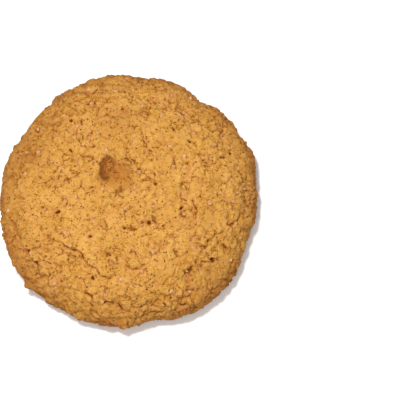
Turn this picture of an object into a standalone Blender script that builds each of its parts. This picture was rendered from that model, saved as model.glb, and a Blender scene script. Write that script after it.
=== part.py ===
"""Oatmeal cookie baked as one piece: a domed, cracked crust on a flat base, with the tail of dough that
was left when it was dropped on the tray, and grains of coarse sugar baked into the top.

Metres, +Z up. The origin is the middle of the flat base, and -Y is the side nearest the viewer.
"""

import bmesh
import bpy
import numpy as np
from mathutils import Euler, Matrix, Vector

MM = 0.001

# Driving sizes of the cookie
WIDTH = 70.0 * MM
DEPTH = 71.6 * MM
DOME_HEIGHT = 19.0 * MM
WIDEST_HEIGHT = 5.5 * MM
BASE_SHARE = 0.91
DOME_CURVE = 2.3
SHOULDER_CURVE = 1.9

# Bulges and dents of the outline, seen from above: azimuth in degrees, height, half width in degrees
OUTLINE_BULGES = [
    (20, 1.45 * MM, 7.5),
    (32, 0.65 * MM, 8),
    (44, 0.65 * MM, 7),
    (55, -1.1 * MM, 5),
    (70, -0.2 * MM, 6),
    (84, -0.4 * MM, 5),
    (102, 0.6 * MM, 8),
    (146, -0.7 * MM, 16),
    (208, 0.7 * MM, 14),
    (241, -0.6 * MM, 8),
    (270, -1.0 * MM, 26),
    (282, -1.0 * MM, 8),
    (313, 0.2 * MM, 14),
    (338, -1.0 * MM, 10),
]

# Crumbs on the rim: azimuth in degrees, height of the middle, half width, how far each stands out
RIM_CRUMBS = [(220.9, 5.6 * MM, 1.1 * MM, 1.3 * MM), (268.5, 5.8 * MM, 1.7 * MM, 1.1 * MM)]

# Unevenness of the dough, as the size of the hills and their height
SWELLS = [(17 * MM, 0.80 * MM), (7 * MM, 0.50 * MM), (3.2 * MM, 0.20 * MM)]
SIDE_SWELL = 0.35
FOOT_HEIGHT = 3.0 * MM

# Plates of crust between the cracks
PLATE_SIZE = 5.6 * MM
PLATE_STEP = 0.32 * MM
PLATE_BLEND = 0.35 * MM
PLATE_CRACK_DEPTH = 0.60 * MM
PLATE_CRACK_WIDTH = 0.42 * MM
OPENED_SIZE = 4.5 * MM

# How what is drawn on the crust is pushed about, as the reach of the push and the size of its swirls
PLATE_PUSHES = [(1.5 * MM, 4.0 * MM), (0.35 * MM, 1.2 * MM)]
CRACK_PUSH = (0.55 * MM, 2.2 * MM)
TAIL_PUSHES = [(0.9 * MM, 2.5 * MM), (0.5 * MM, 1.0 * MM)]

# Open pits in the crust
PIT_SPACING = 3.4 * MM
PIT_RADIUS = 0.85 * MM
PIT_DEPTH = 0.55 * MM
PIT_SHARE = 0.5

# Folds that run along the rim, where the dough slumped
FOLD_FROM = 20.0 * MM
FOLD_FULL = 28.0 * MM
FOLD_SIZE = 2.8 * MM
FOLD_STRETCH = 12.0 * MM
FOLD_DEPTH = 0.40 * MM
FOLD_WIDTH = 0.16
FOLD_PATCH = 9.0 * MM

# Tail of dough on top, seen from above: its blunt head, which narrows to a tip, and the low mound beside
# it, with their half widths and heights, how far the mound is turned, and how far round it no sugar sits
TAIL_HEAD = np.array([-5.0, 5.7]) * MM
TAIL_HEAD_HALVES = np.array([2.3, 3.2]) * MM
TAIL_HEAD_HEIGHT = 2.2 * MM
TAIL_BODY = np.array([-1.8, 3.0]) * MM
TAIL_BODY_HALVES = np.array([3.8, 4.8]) * MM
TAIL_BODY_HEIGHT = 1.3 * MM
TAIL_BODY_TURN = np.radians(30)
TAIL_CLEAR = 4.6 * MM

# How far beside a large crack its lifted crust sinks back, and how far across the crack the step is spread
LIFT_REACH = 2.4 * MM
LIFT_SPREAD = 0.3 * MM
LIFT_SHARE = 0.8

# Large cracks, seen from above, in millimetres: the crust on a crack's left stands up by its lift
CRACKS = [
    # depth, half width, lift, points
    (1.0, 0.45, 0.55, [(-22.4, -11.1), (-20.8, -13.1), (-17.4, -14.4), (-15.1, -15.8), (-12.4, -17.4),
                       (-11.4, -18.9), (-10.6, -20.3), (-8.6, -20.9), (-7.7, -22.3), (-6.2, -23.4),
                       (-4.0, -23.9), (-2.0, -21.8)]),
    (0.9, 0.45, -0.35, [(-11.6, -26.8), (-9.5, -28.2), (-9.3, -29.6)]),
    (0.9, 0.45, 0.30, [(-6.3, -30.0), (-4.5, -29.8), (-3.4, -29.1)]),
    (0.7, 0.40, 0.35, [(-3.2, -29.4), (-2.0, -30.9), (-1.1, -31.8), (0.6, -32.3)]),
    (0.7, 0.40, 0.30, [(-22.4, -18.7), (-21.0, -19.6), (-19.2, -19.3)]),
    (0.7, 0.40, 0.30, [(-7.2, -15.2), (-6.8, -16.6), (-4.6, -18.0), (-3.6, -18.2)]),
    (0.9, 0.45, 0.45, [(-0.4, -20.3), (0.4, -21.3), (1.8, -21.8), (3.4, -21.2), (4.4, -20.5),
                       (5.8, -20.8)]),
    (0.9, 0.50, 0.50, [(15.4, -19.3), (17.2, -19.9), (17.4, -21.2), (16.0, -22.6), (14.9, -23.8)]),
    (0.8, 0.40, 0.35, [(24.4, -12.4), (25.0, -13.6), (25.9, -14.0), (27.0, -15.0), (26.6, -16.4)]),
    (0.8, 0.40, 0.30, [(26.8, -8.0), (28.0, -8.3), (29.1, -7.4)]),
    (0.8, 0.40, 0.30, [(16.5, -2.2), (18.0, -2.9), (18.6, -5.4), (18.3, -7.7), (17.1, -9.1)]),
    (0.7, 0.40, 0.30, [(13.6, -5.6), (15.4, -4.5)]),
    (0.9, 0.50, -0.30, [(3.1, -9.9), (4.4, -9.3), (5.8, -9.1)]),
    (0.7, 0.40, 0.30, [(7.4, -29.0), (8.8, -29.3), (10.1, -30.0), (11.3, -30.7)]),
    (0.8, 0.50, 0.30, [(13.2, -29.5), (15.0, -30.0), (16.4, -29.6)]),
    (0.7, 0.40, 0.30, [(3.1, 1.4), (3.8, 0.0), (4.2, -2.2)]),
    (0.7, 0.40, 0.30, [(7.0, 5.6), (7.4, 3.9), (7.9, 1.6)]),
    (0.7, 0.40, 0.30, [(0.2, 9.8), (0.6, 8.6), (1.8, 7.6), (3.2, 5.5)]),
    (0.7, 0.40, -0.30, [(3.9, 14.8), (4.5, 13.4), (5.4, 11.9), (6.6, 10.6), (7.0, 9.2)]),
    (0.8, 0.40, 0.35, [(13.2, 10.2), (12.7, 8.6), (12.8, 7.2), (13.4, 5.2)]),
    (0.7, 0.40, 0.30, [(11.0, 18.5), (12.4, 17.6), (12.4, 16.2)]),
    (0.8, 0.40, 0.30, [(24.6, 9.8), (26.8, 10.3)]),
    (0.8, 0.40, -0.35, [(21.6, 18.7), (22.8, 17.6), (24.4, 18.3), (26.0, 18.1)]),
    (0.8, 0.40, 0.30, [(6.0, 26.2), (5.9, 23.6), (4.0, 23.3)]),
    (0.7, 0.40, 0.30, [(-2.6, 22.8), (-1.0, 23.3), (0.4, 22.7)]),
    (0.8, 0.45, 0.40, [(-16.6, 25.2), (-15.4, 26.2), (-14.0, 27.0), (-12.0, 27.3)]),
    (0.8, 0.45, 0.40, [(-11.3, 28.7), (-9.7, 29.3), (-7.9, 30.3), (-4.5, 30.8)]),
    (0.7, 0.40, 0.35, [(-11.6, 24.9), (-10.8, 25.4), (-9.5, 26.0), (-8.2, 26.5)]),
    (0.8, 0.40, 0.30, [(-18.3, 28.2), (-18.0, 26.6), (-18.6, 25.2)]),
    (0.7, 0.40, 0.30, [(-24.8, 17.4), (-24.6, 18.8), (-23.4, 20.0)]),
    (0.7, 0.40, 0.30, [(-30.2, 9.8), (-29.4, 11.0), (-27.6, 12.2)]),
    (1.0, 0.50, 0.55, [(-31.6, -6.5), (-30.5, -10.5), (-28.9, -14.0), (-26.4, -16.9), (-24.9, -18.5),
                       (-23.7, -21.5), (-21.4, -23.2)]),
    (0.8, 0.50, -0.45, [(11.0, 31.4), (16.0, 29.2), (20.5, 26.2), (24.5, 23.5), (27.5, 21.2)]),
]

# Sugar grains, of which only the larger are shaped here
GRAIN_COUNT = 96
SHAPED_GRAINS = 80
GRAIN_REACH = 0.94
GRAIN_SIZES = (1.3 * MM, 0.7 * MM)
GRAIN_SIDES = 6
GRAIN_RAISED = -0.1
GOLDEN_TURN = 2.39996

# How finely the dough is shaped before it is thinned out, and how many triangles are kept
SHAPING_LEVEL = 7
CORE_TRIANGLES = 8000
BASE_EDGE = -0.22
SEED = 11

PLAN_RADIUS = 0.5 * WIDTH
DEPTH_STRETCH = DEPTH / WIDTH


def ease(low, high, value):
    """An S-shaped rise from 0 at low to 1 at high."""
    share = np.clip((value - low) / (high - low), 0, 1)
    return share * share * (3 - 2 * share)


def cell_random(cells, seed):
    """A random number from 0 to 1 for each whole-number cell: its three numbers, mixed by large factors."""
    mixed = (cells[..., 0] * 73856093) ^ (cells[..., 1] * 19349663) ^ (cells[..., 2] * 83492791)
    mixed = (mixed + seed * 40503) & 0xFFFFFFFF
    for _ in range(2):
        mixed = ((mixed ^ (mixed >> 16)) * 0x45D9F3B) & 0xFFFFFFFF
    return ((mixed ^ (mixed >> 16)) & 0xFFFFFF) / 0x1000000


def hills(points, size, seed):
    """Smooth noise, about -1 to 1: a random slope at each corner of a lattice, blended by an S-curve."""
    scaled = points / size
    low = np.floor(scaled).astype(np.int64)
    part = scaled - low
    blend = part * part * part * (part * (part * 6 - 15) + 10)
    total = np.zeros(len(points))
    for corner in np.ndindex(2, 2, 2):
        corner = np.array(corner)
        weight = np.where(corner == 1, blend, 1 - blend).prod(axis=1)
        slope = np.stack([cell_random(low + corner, seed + k) for k in range(3)], axis=1) - 0.5
        total += weight * ((part - corner) * slope).sum(axis=1)
    return 2.6 * total


def warped(points, reach, size, seed):
    """The points pushed about by noise, so that straight borders drawn through them turn crooked."""
    push = np.stack([hills(points, size, seed + 10 * k) for k in range(3)], axis=1)
    return points + reach * push


def plates(points, size, blend, seed):
    """Crooked cells: how far the nearest border is, and the cell's random height, blended at borders."""
    scaled = points / size
    low = np.floor(scaled).astype(np.int64)
    nearest = np.full(len(points), np.inf)
    second = np.full(len(points), np.inf)
    gaps, values = [], []
    for step in np.ndindex(3, 3, 3):
        cell = low + np.array(step) - 1
        middle = cell + np.stack([cell_random(cell, seed + k) for k in range(3)], axis=1)
        gap = np.linalg.norm(scaled - middle, axis=1)
        second = np.minimum(second, np.maximum(nearest, gap))
        nearest = np.minimum(nearest, gap)
        gaps.append(gap)
        values.append(2 * cell_random(cell, seed + 7) - 1)
    weights = np.exp(-(np.array(gaps) - nearest) * size / blend)
    height = (weights * np.array(values)).sum(axis=0) / weights.sum(axis=0)
    return 0.5 * size * (second - nearest), height


def pits(points, spacing, radius, depth, share, seed):
    """How deep the crust is pitted: round pits of varied width, one in some of the lattice's cells."""
    scaled = points / spacing
    low = np.floor(scaled).astype(np.int64)
    deepest = np.zeros(len(points))
    for step in np.ndindex(3, 3, 3):
        cell = low + np.array(step) - 1
        middle = cell + np.stack([cell_random(cell, seed + k) for k in range(3)], axis=1)
        gap = np.linalg.norm(scaled - middle, axis=1) * spacing
        own = radius * (0.55 + 0.45 * cell_random(cell, seed + 5))
        here = np.where(cell_random(cell, seed + 6) < share, depth * (1 - (gap / own) ** 2), 0)
        deepest = np.maximum(deepest, here)
    return deepest


def along_line(places, line):
    """Each place's distance to a bent line, which side it is on, and how far along the line it lies."""
    nearest = np.full(len(places), np.inf)
    side = np.zeros(len(places))
    along = np.zeros(len(places))
    lengths = np.linalg.norm(np.diff(line, axis=0), axis=1)
    starts = np.concatenate([[0], np.cumsum(lengths)])
    for i, length in enumerate(lengths):
        run = (line[i + 1] - line[i]) / length
        offset = places - line[i]
        travelled = np.clip(offset @ run, 0, length)
        gap = np.linalg.norm(offset - travelled[:, None] * run, axis=1)
        closer = gap < nearest
        nearest = np.where(closer, gap, nearest)
        side = np.where(closer, run[0] * offset[:, 1] - run[1] * offset[:, 0], side)
        along = np.where(closer, (starts[i] + travelled) / starts[-1], along)
    return nearest, side, along


def large_cracks(points):
    """Each large crack is a groove with thin ends, and the crust beside it is lifted and sinks away."""
    places = warped(points, *CRACK_PUSH, SEED + 300)[:, :2]
    total = np.zeros(len(points))
    for depth, half_width, lift, line in CRACKS:
        gap, side, along = along_line(places, np.array(line) * MM)
        strength = (4 * along * (1 - along)).clip(0, 1) ** 0.5
        groove = depth * MM * np.exp(-((gap / (half_width * MM)) ** 2))
        lifted = lift * MM * np.exp(-gap / LIFT_REACH) * np.tanh(side / LIFT_SPREAD)
        total += strength * (LIFT_SHARE * lifted - groove)
    return total


def rim_crumbs(points):
    """Lumps on the rim: each stands out most at its place and falls away all round it, as a bell curve."""
    total = np.zeros(len(points))
    for degrees, height, half_width, standing in RIM_CRUMBS:
        azimuth = np.radians(degrees)
        radius = PLAN_RADIUS * outline(azimuth)
        place = np.array([radius * np.cos(azimuth), radius * np.sin(azimuth), height])
        total += standing * np.exp(-((np.linalg.norm(points - place, axis=1) / half_width) ** 2))
    return total


def tail_of_dough(points):
    """A thumb of dough pressed on the dome: a steep head like a leaf, and a low mound beside it."""
    places = warped(warped(points, *TAIL_PUSHES[0], SEED + 400), *TAIL_PUSHES[1], SEED + 430)[:, :2]
    offset = places - TAIL_HEAD
    narrowed = 1 + 0.35 * np.clip(offset[:, 1] / TAIL_HEAD_HALVES[1], -1, 1)
    head_reach = np.hypot(offset[:, 0] * narrowed / TAIL_HEAD_HALVES[0], offset[:, 1] / TAIL_HEAD_HALVES[1])
    head = np.exp(-(head_reach**4))
    leaning = 1 - 0.35 * ease(-1.0 * MM, 3.0 * MM, offset[:, 0])
    offset = places - TAIL_BODY
    across = offset @ [np.cos(TAIL_BODY_TURN), np.sin(TAIL_BODY_TURN)]
    lengthways = offset @ [-np.sin(TAIL_BODY_TURN), np.cos(TAIL_BODY_TURN)]
    body = np.exp(-(np.hypot(across / TAIL_BODY_HALVES[0], lengthways / TAIL_BODY_HALVES[1]) ** 3))
    return np.maximum(TAIL_HEAD_HEIGHT * leaning * head, TAIL_BODY_HEIGHT * body)


def rim_folds(points):
    """Creases along the rim: noise drawn out round the cookie, with a groove where it is zero."""
    radius = np.hypot(points[:, 0], points[:, 1])
    around = FOLD_STRETCH * points[:, :2] / np.maximum(radius, MM)[:, None]
    drawn_out = np.column_stack([around, 0.7 * (radius - points[:, 2])])
    crease = np.exp(-((hills(drawn_out, FOLD_SIZE, SEED + 200) / FOLD_WIDTH) ** 2))
    shown = ease(-0.1, 0.3, hills(points, FOLD_PATCH, SEED + 210)) * ease(FOLD_FROM, FOLD_FULL, radius)
    return -FOLD_DEPTH * crease * shown


def crust_relief(points):
    """How far the crust stands out from the smooth dome."""
    calmed = SIDE_SWELL + (1 - SIDE_SWELL) * ease(WIDEST_HEIGHT, 0.7 * DOME_HEIGHT, points[:, 2])
    total = calmed * sum(height * hills(points, size, SEED + i) for i, (size, height) in enumerate(SWELLS))
    crooked = warped(warped(points, *PLATE_PUSHES[0], SEED + 20), *PLATE_PUSHES[1], SEED + 60)
    border, step = plates(crooked, PLATE_SIZE, PLATE_BLEND, SEED + 100)
    opened = ease(-0.05, 0.35, hills(points, OPENED_SIZE, SEED + 120))
    total += PLATE_STEP * calmed * step
    total -= PLATE_CRACK_DEPTH * opened * np.exp(-((border / PLATE_CRACK_WIDTH) ** 2))
    total -= pits(crooked, PIT_SPACING, PIT_RADIUS, PIT_DEPTH, PIT_SHARE, SEED + 140)
    total += rim_folds(points) + large_cracks(points)
    return total + rim_crumbs(points) + tail_of_dough(points)


def side_profile(share):
    """Radius and height along the crust, share 0 at the top and 1 at the base's edge: a flattened arch over
    the widest place, and a quarter of an ellipse that tucks in under it."""
    turn = np.linspace(0, np.pi / 2, 400)
    over_radius = np.sin(turn) ** (2 / DOME_CURVE)
    over_height = WIDEST_HEIGHT + (DOME_HEIGHT - WIDEST_HEIGHT) * np.cos(turn) ** (2 / SHOULDER_CURVE)
    under_radius = BASE_SHARE + (1 - BASE_SHARE) * np.cos(turn[1:])
    under_height = WIDEST_HEIGHT * (1 - np.sin(turn[1:]))
    radius = PLAN_RADIUS * np.concatenate([over_radius, under_radius])
    height = np.concatenate([over_height, under_height])
    travelled = np.concatenate([[0], np.cumsum(np.hypot(np.diff(radius), np.diff(height)))])
    travelled /= travelled[-1]
    return np.interp(share, travelled, radius), np.interp(share, travelled, height)


def outline(azimuth):
    """The plan's radius as a share of the mean one: slightly oval, with its bulges and dents."""
    total = np.hypot(np.cos(azimuth), DEPTH_STRETCH * np.sin(azimuth))
    for degrees, height, half_width in OUTLINE_BULGES:
        away = np.angle(np.exp(1j * (azimuth - np.radians(degrees))))
        total = total + height / PLAN_RADIUS * np.exp(-((away / np.radians(half_width)) ** 2))
    return total


def smooth_dome(azimuth, share):
    """Points of the smooth cookie, and the directions that face out of it."""
    radius, height = side_profile(share)
    near_radius, near_height = side_profile(np.clip(share - 0.004, 0, 1))
    far_radius, far_height = side_profile(np.clip(share + 0.004, 0, 1))
    slope = np.stack([near_height - far_height, far_radius - near_radius])
    slope /= np.linalg.norm(slope, axis=0)
    round_plan = np.stack([np.cos(azimuth), np.sin(azimuth)], axis=1)
    plan = (radius * (1 + (outline(azimuth) - 1) * ease(0, PLAN_RADIUS, radius)))[:, None] * round_plan
    points = np.column_stack([plan, height])
    outward = np.column_stack([slope[0][:, None] * round_plan, slope[1]])
    return points, outward


def cookie_surface(directions):
    """The cookie's surface for directions from its middle: the upper ones are spread over the crust, the
    lower ones over the flat base, both by area."""
    azimuth = np.arctan2(directions[:, 1], directions[:, 0])
    crust = directions[:, 2] > BASE_EDGE
    share = np.sqrt(np.clip((1 - directions[:, 2]) / (1 - BASE_EDGE), 0, 1))
    points, outward = smooth_dome(azimuth, np.where(crust, share, 1.0))
    free = ease(0, FOOT_HEIGHT, points[:, 2])
    points += outward * (free * crust_relief(points))[:, None]
    inward = np.sqrt(np.clip((1 + directions[:, 2]) / (1 + BASE_EDGE), 0, 1))
    base = points * np.column_stack([inward, inward, np.zeros(len(points))])
    surface = np.where(crust[:, None], points, base)
    surface[:, 2] = np.maximum(surface[:, 2], 0)
    return surface


def baking_material(name, colour, roughness):
    """A plain matt material."""
    material = bpy.data.materials.new(name)
    material.use_nodes = True
    shader = material.node_tree.nodes["Principled BSDF"]
    shader.inputs["Base Color"].default_value = colour
    shader.inputs["Roughness"].default_value = roughness
    shader.inputs["Metallic"].default_value = 0.0
    material.diffuse_color = colour
    return material


def shaped_dough(collection):
    """The cookie without its sugar: a fine ball pushed to the cookie's surface, then thinned out."""
    shape = bmesh.new()
    bmesh.ops.create_icosphere(shape, subdivisions=SHAPING_LEVEL, radius=1)
    mesh = bpy.data.meshes.new("cookie")
    shape.to_mesh(mesh)
    shape.free()
    places = np.empty(3 * len(mesh.vertices))
    mesh.vertices.foreach_get("co", places)
    mesh.vertices.foreach_set("co", cookie_surface(places.reshape(-1, 3)).ravel())
    mesh.update()
    dough = bpy.data.objects.new("cookie", mesh)
    collection.objects.link(dough)
    thinning = dough.modifiers.new("Thinning", "DECIMATE")
    thinning.ratio = CORE_TRIANGLES / len(mesh.polygons)
    thinning.use_collapse_triangulate = True
    return dough


def grain_seats():
    """Where the sugar grains sit: a sunflower's spiral over the dome, each a little off its place. Their
    sizes are dealt out at random, the grains are listed largest first, and none sits on the tail's head."""
    draw = np.random.default_rng(SEED)
    order = np.arange(GRAIN_COUNT)
    share = GRAIN_REACH * np.sqrt((order + 0.5) / GRAIN_COUNT) + draw.uniform(-0.02, 0.02, GRAIN_COUNT)
    azimuth = order * GOLDEN_TURN + draw.uniform(-0.25, 0.25, GRAIN_COUNT)
    radius = PLAN_RADIUS * share
    table_share = np.linspace(0, 1, 400)
    table_radius, _ = side_profile(table_share)
    over = np.argmax(table_radius)
    seat_share = np.interp(radius, table_radius[: over + 1], table_share[: over + 1])
    points, outward = smooth_dome(azimuth, seat_share)
    points += outward * crust_relief(points)[:, None]
    dealt = draw.permutation(GRAIN_COUNT)
    sizes = np.linspace(*GRAIN_SIZES, GRAIN_COUNT)
    turns = draw.uniform(0, 2 * np.pi, (GRAIN_COUNT, 3))
    shapes = draw.uniform(0.75, 1.15, (GRAIN_COUNT, 3))
    points, outward = points[dealt], outward[dealt]
    free = np.linalg.norm(points[:, :2] - TAIL_HEAD, axis=1) > TAIL_CLEAR
    return points[free], outward[free], sizes[free], turns[free], shapes[free]


def sugar_grains(collection):
    """Crystals: short tapered prisms, each stretched and turned its own way and half sunk in the crust."""
    seats = [listed[:SHAPED_GRAINS] for listed in grain_seats()]
    for seat, outward, size, turn, shape in zip(*seats):
        crystal = bmesh.new()
        place = Matrix.Translation(Vector(seat) + Vector(outward) * GRAIN_RAISED * size)
        stretch = Matrix.Diagonal((*(0.5 * size * shape), 1))
        matrix = place @ Euler(turn).to_matrix().to_4x4() @ stretch
        bmesh.ops.create_cone(
            crystal, cap_ends=True, segments=GRAIN_SIDES, radius1=1, radius2=0.7, depth=1.6, matrix=matrix
        )
        mesh = bpy.data.meshes.new("grain")
        crystal.to_mesh(mesh)
        crystal.free()
        collection.objects.link(bpy.data.objects.new("grain", mesh))


def fused(dough, grains):
    """One solid of the dough and all the grains on it."""
    joining = dough.modifiers.new("Sugar", "BOOLEAN")
    joining.operation = "UNION"
    joining.operand_type = "COLLECTION"
    joining.collection = grains
    graph = bpy.context.evaluated_depsgraph_get()
    mesh = bpy.data.meshes.new_from_object(dough.evaluated_get(graph))
    dough.modifiers.clear()
    dough.data = mesh
    for grain in list(grains.objects):
        bpy.data.objects.remove(grain)
    bpy.data.collections.remove(grains)
    return dough


def main():
    for old in list(bpy.data.objects):
        bpy.data.objects.remove(old)
    parts = bpy.data.collections.new("oatmeal_cookie")
    grains = bpy.data.collections.new("sugar_grains")
    for collection in (parts, grains):
        bpy.context.scene.collection.children.link(collection)
    dough = shaped_dough(parts)
    sugar_grains(grains)
    cookie = fused(dough, grains)
    cookie.data.materials.clear()
    cookie.data.materials.append(baking_material("baked_crust", (0.66, 0.33, 0.075, 1.0), 0.8))
    cookie.data.shade_smooth()
    cookie.data.set_sharp_from_angle(angle=np.radians(50))


main()
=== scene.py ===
"""Looks of the oatmeal cookie: cracked golden crust, baked-in sugar, floor, light and camera."""

import math

import bpy
import numpy as np
from mathutils import Euler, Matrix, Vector


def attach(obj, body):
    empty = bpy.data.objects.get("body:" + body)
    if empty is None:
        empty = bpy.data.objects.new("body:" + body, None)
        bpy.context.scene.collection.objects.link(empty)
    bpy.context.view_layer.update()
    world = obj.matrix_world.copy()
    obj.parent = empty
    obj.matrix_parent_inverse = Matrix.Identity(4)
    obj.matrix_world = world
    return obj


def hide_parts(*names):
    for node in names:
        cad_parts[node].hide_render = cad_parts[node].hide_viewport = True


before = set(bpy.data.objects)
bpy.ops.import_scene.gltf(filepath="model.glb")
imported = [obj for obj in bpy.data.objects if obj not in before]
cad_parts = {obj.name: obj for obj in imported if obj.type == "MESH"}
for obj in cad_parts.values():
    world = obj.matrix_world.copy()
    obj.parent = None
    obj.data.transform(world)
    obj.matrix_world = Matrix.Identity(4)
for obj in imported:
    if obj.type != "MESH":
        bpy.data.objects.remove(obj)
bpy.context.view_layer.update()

MM = 0.001
SEED = 11

# Sizes of the cookie, the same as the solid's, how finely its side's curve is followed, and the share
# of that curve over which its slope is taken
WIDTH = 70.0 * MM
DEPTH = 71.6 * MM
DOME_HEIGHT = 19.0 * MM
WIDEST_HEIGHT = 5.5 * MM
BASE_SHARE = 0.91
DOME_CURVE = 2.3
SHOULDER_CURVE = 1.9
PLAN_RADIUS = 0.5 * WIDTH
DEPTH_STRETCH = DEPTH / WIDTH
PROFILE_STEPS = 400
SLOPE_STEP = 0.004

# Bulges and dents of the outline, seen from above: azimuth in degrees, height, half width in degrees
OUTLINE_BULGES = [
    (20, 1.45 * MM, 7.5),
    (32, 0.65 * MM, 8),
    (44, 0.65 * MM, 7),
    (55, -1.1 * MM, 5),
    (70, -0.2 * MM, 6),
    (84, -0.4 * MM, 5),
    (102, 0.6 * MM, 8),
    (146, -0.7 * MM, 16),
    (208, 0.7 * MM, 14),
    (241, -0.6 * MM, 8),
    (270, -1.0 * MM, 26),
    (282, -1.0 * MM, 8),
    (313, 0.2 * MM, 14),
    (338, -1.0 * MM, 10),
]

# Crumbs on the rim: azimuth in degrees, height of the middle, half width, how far each stands out
RIM_CRUMBS = [(220.9, 5.6 * MM, 1.1 * MM, 1.3 * MM), (268.5, 5.8 * MM, 1.7 * MM, 1.1 * MM)]

# Unevenness of the dough, as the size of the hills and their height
SWELLS = [(17 * MM, 0.80 * MM), (7 * MM, 0.50 * MM), (3.2 * MM, 0.20 * MM)]
SIDE_SWELL = 0.35
FOOT_HEIGHT = 3.0 * MM

# Plates of crust between the cracks, how far from a border the bare crumb begins and is full, and
# how low the plate then has to be
PLATE_SIZE = 5.6 * MM
PLATE_STEP = 0.32 * MM
PLATE_BLEND = 0.20 * MM
PLATE_CRACK_DEPTH = 0.60 * MM
PLATE_CRACK_WIDTH = 0.20 * MM
PLATE_BARE = (1.2 * MM, 0.3 * MM)
PLATE_LOW = (0.1, -0.5)

# Flakes, the small plates within the large ones, which swell up from rounded borders
FLAKE_SIZE = 2.5 * MM
FLAKE_STEP = 0.19 * MM
FLAKE_BLEND = 0.12 * MM
FLAKE_CRACK_DEPTH = 0.36 * MM
FLAKE_CRACK_WIDTH = 0.17 * MM
FLAKE_BARE = (0.6 * MM, 0.15 * MM)
FLAKE_LOW = (0, -0.6)
FLAKE_SWELL = 0.66 * MM
FLAKE_ROUNDING = 0.42 * MM

# Crumbs, the smallest lumps of the crust
CRUMB_SIZE = 1.35 * MM
CRUMB_STEP = 0.07 * MM
CRUMB_BLEND = 0.10 * MM
CRUMB_SWELL = 0.34 * MM
CRUMB_ROUNDING = 0.16 * MM

# The share of a swell at which a flake or a crumb neither stands up nor sinks
SWELL_EVEN = 0.6

# How much farther off a plate's, flake's or crumb's border counts as being where it is shut
SHUT_BORDER = 0.45 * MM

# Patches of the crust, as the size of their noise and the levels between which each comes in: where
# the cracks of the plates are open and where they are unbroken, where the flakes are lumpy, where
# the crumbs and the folds show, and where the large cracks are unbroken
OPENED_PATCHES = (4.5 * MM, 0.05, 0.45)
UNBROKEN_PATCHES = (1.6 * MM, -0.25, 0.3)
LUMPY_PATCHES = (6.0 * MM, -0.5, 0.2)
CRUMBLY_PATCHES = (3.0 * MM, -0.3, 0.3)
FOLD_PATCHES = (9.0 * MM, -0.3, 0.2)
LARGE_UNBROKEN_PATCHES = (1.3 * MM, -0.35, 0.25)

# The flakes gather in patches of two sizes, whose noise is added up before its levels are read
FLAKED_SIZES = (3.2 * MM, 1.3 * MM)
FLAKED_LEVELS = (-0.32, 0.22)

# How what is drawn on the crust is pushed about: the reach of each push and the size of its swirls
PLATE_PUSHES = [(1.5 * MM, 4.0 * MM), (0.50 * MM, 1.2 * MM), (0.13 * MM, 0.5 * MM)]
CRACK_PUSHES = [(0.55 * MM, 2.2 * MM), (0.30 * MM, 0.9 * MM)]
TAIL_PUSHES = [(0.9 * MM, 2.5 * MM), (0.5 * MM, 1.0 * MM)]
PIT_PUSH = (0.35 * MM, 0.8 * MM)
PATCH_PUSH = (2.0 * MM, 4.0 * MM)
PORE_PUSH = (1.0 * MM, 3.0 * MM)

# Open pits in the crust, the large ones and the pinholes, and the pores of the base
PIT_SPACING = 3.4 * MM
PIT_RADIUS = 0.45 * MM
PIT_DEPTH = 0.60 * MM
PIT_SHARE = 0.35
PINHOLE_SPACING = 1.5 * MM
PINHOLE_RADIUS = 0.33 * MM
PINHOLE_DEPTH = 0.34 * MM
PINHOLE_SHARE = 0.42
PORE_SPACING = 3.2 * MM
PORE_RADIUS = 1.0 * MM
PORE_DEPTH = 0.45 * MM
PORE_SHARE = 0.6

# Folds that run along the rim, where the dough slumped, and the finer creases among them
FOLD_FROM = 20.0 * MM
FOLD_FULL = 28.0 * MM
FOLD_SIZE = 2.8 * MM
FOLD_STRETCH = 12.0 * MM
FOLD_DEPTH = 0.40 * MM
FOLD_WIDTH = 0.13
FOLD_STEP = 0.20 * MM
CREASE_SIZE = 1.3 * MM
CREASE_DEPTH = 0.22 * MM

# Grit of the crust and of the bare crumb, as the size of the grains and their height
GRIT = [(1.1 * MM, 0.10 * MM), (0.6 * MM, 0.06 * MM)]
BARE_GRIT = (0.6 * MM, 0.06 * MM)

# How far out or in the crust begins to be painted with shade as a hollow, and is fully so
HOLLOW_SHADE_FROM = 0.05 * MM
HOLLOW_SHADE_FULL = -0.55 * MM

# Tail of dough on top, seen from above: its blunt head, which narrows to a tip, and the low mound
# beside it, with their half widths and heights, how far the mound is turned, and how far round it
# no sugar sits
TAIL_HEAD = np.array([-5.0, 5.7]) * MM
TAIL_HEAD_HALVES = np.array([2.3, 3.2]) * MM
TAIL_HEAD_HEIGHT = 2.2 * MM
TAIL_BODY = np.array([-1.8, 3.0]) * MM
TAIL_BODY_HALVES = np.array([3.8, 4.8]) * MM
TAIL_BODY_HEIGHT = 1.3 * MM
TAIL_BODY_TURN = np.radians(30)
TAIL_CLEAR = 4.6 * MM

# Across the tail's head: where it begins to lean and leans fully, and where its darker left edge fades
HEAD_LEANS = (-1.0 * MM, 3.0 * MM)
DARK_EDGE_FADES = (1.2 * MM, -1.2 * MM)

# Browning that runs downhill from the tail's head: its direction and half width, where it begins,
# where it and the browning of the head and the mound begin to fade and end, and the size of its
# mottling
TAIL_SLOPE = np.radians(-40)
TRAIL_HALF_WIDTH = 2.3 * MM
TRAIL_BEGINS = -2.5 * MM
TRAIL_FADES = (7.5 * MM, 1.5 * MM)
HEAD_FADES = (-0.3 * MM, 2.2 * MM)
BODY_FADES = (6.5 * MM, 1.0 * MM)
TAIL_MOTTLE = 1.2 * MM

# How far beside a large crack its lifted crust sinks back, how far across the crack the step is
# spread, and where the bare crumb and painted shadow at its foot, on its low side, begin and are full
LIFT_REACH = 2.4 * MM
LIFT_SPREAD = 0.3 * MM
LIFT_SHARE = 0.8
FOOT_SHADOW = (1.3 * MM, 0.3 * MM)

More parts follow.
